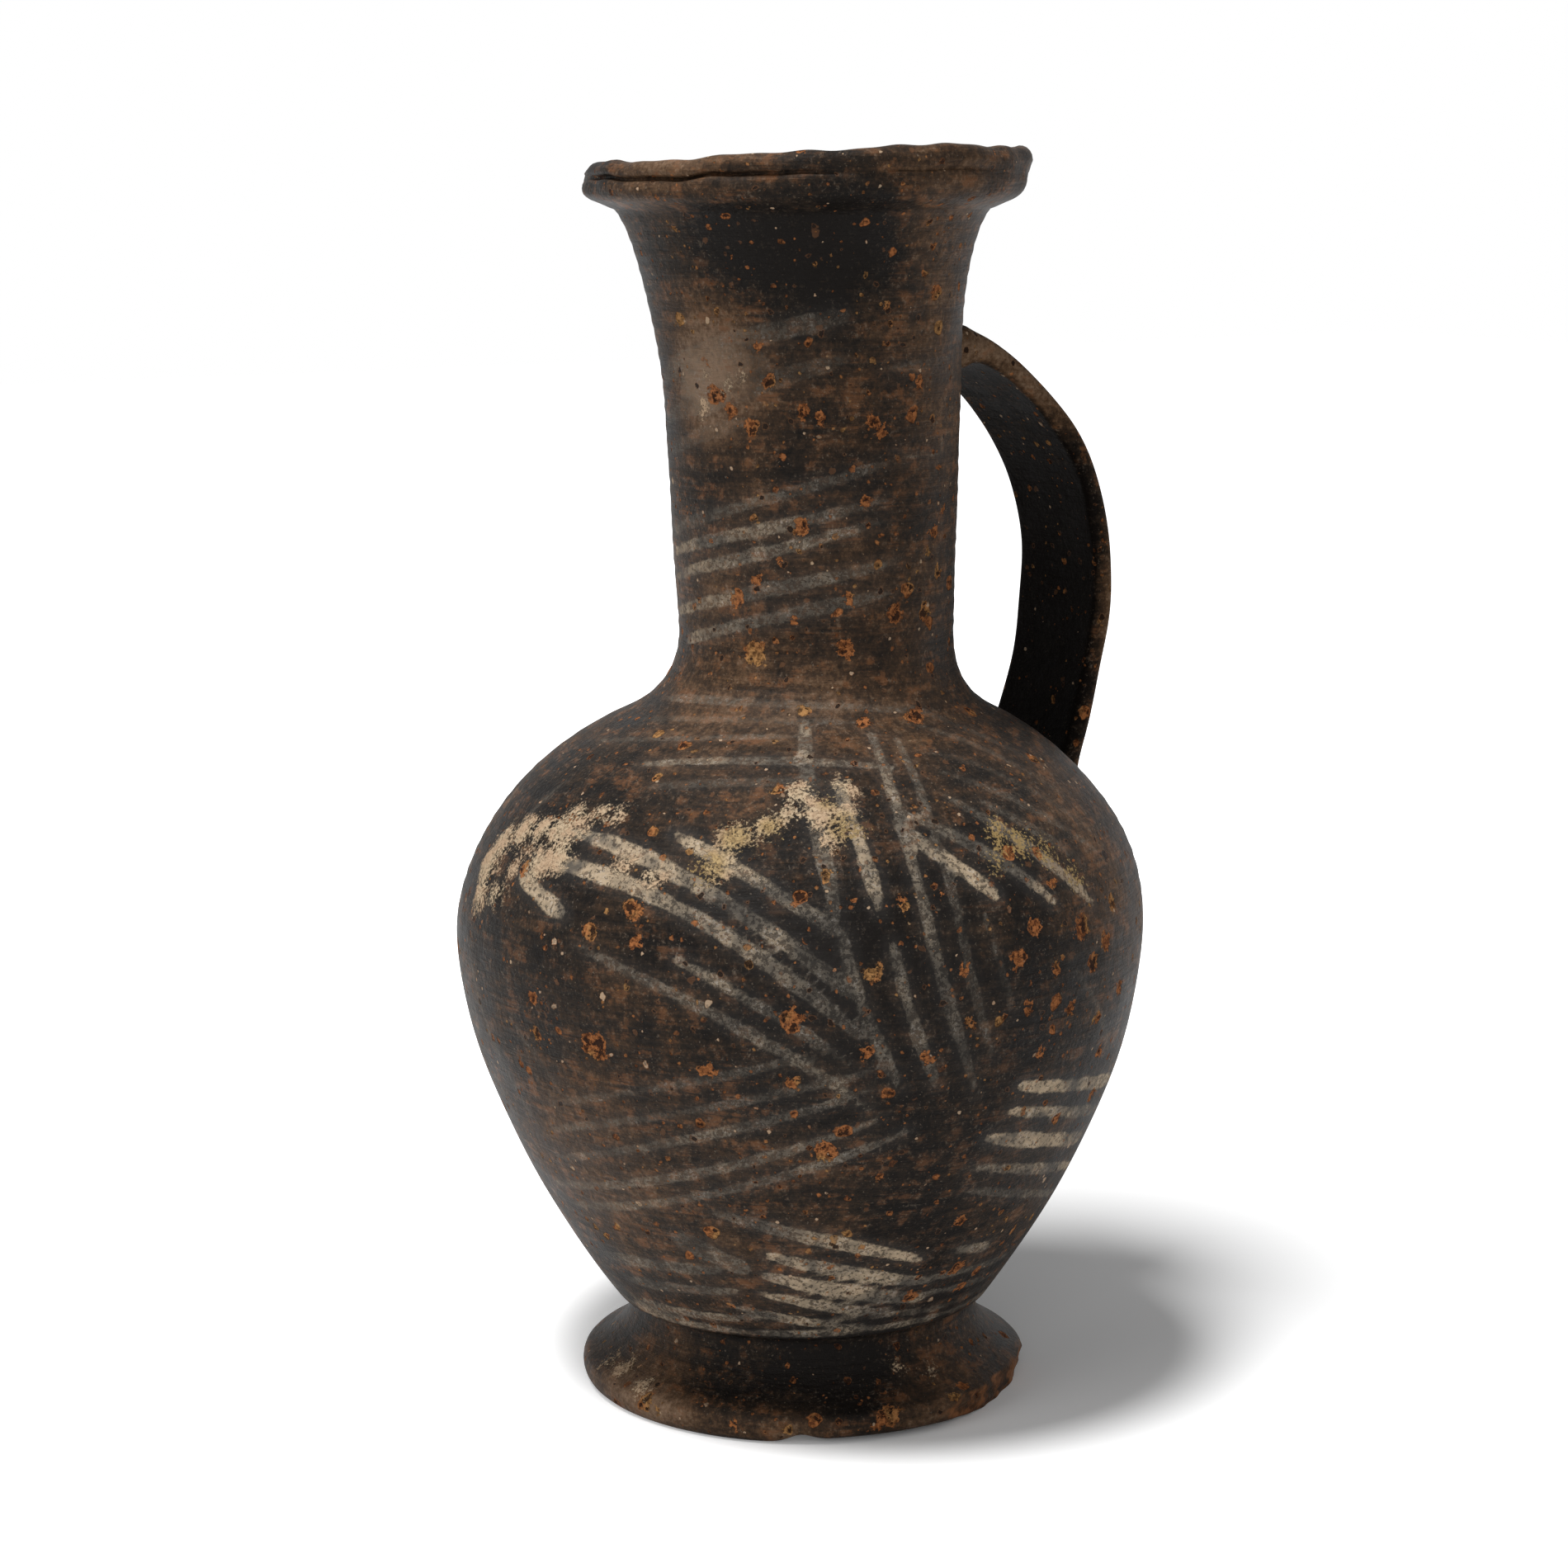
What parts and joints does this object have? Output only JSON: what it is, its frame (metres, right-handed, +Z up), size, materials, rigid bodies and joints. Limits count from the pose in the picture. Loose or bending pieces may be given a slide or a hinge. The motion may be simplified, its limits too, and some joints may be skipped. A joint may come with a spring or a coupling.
{
  "type": "terracotta jug",
  "caption": "Round-bellied fired clay jug on a ring foot, with a tall flared neck, an uneven folded lip and a strap handle.",
  "frame": {"origin": "on the standing plane, under the belly's axis", "axes": "+Z up from the foot to the mouth, +X from the belly's axis towards the strap handle"},
  "size_m": [0.1392, 0.1392, 0.2499],
  "materials": {
    "fired_clay": "burnished dark brown slip over orange clay, with worn cream brush strokes, pits and crusts"
  },
  "bodies": {
    "root": {"jug": "fired_clay"}
  },
  "joints": []
}
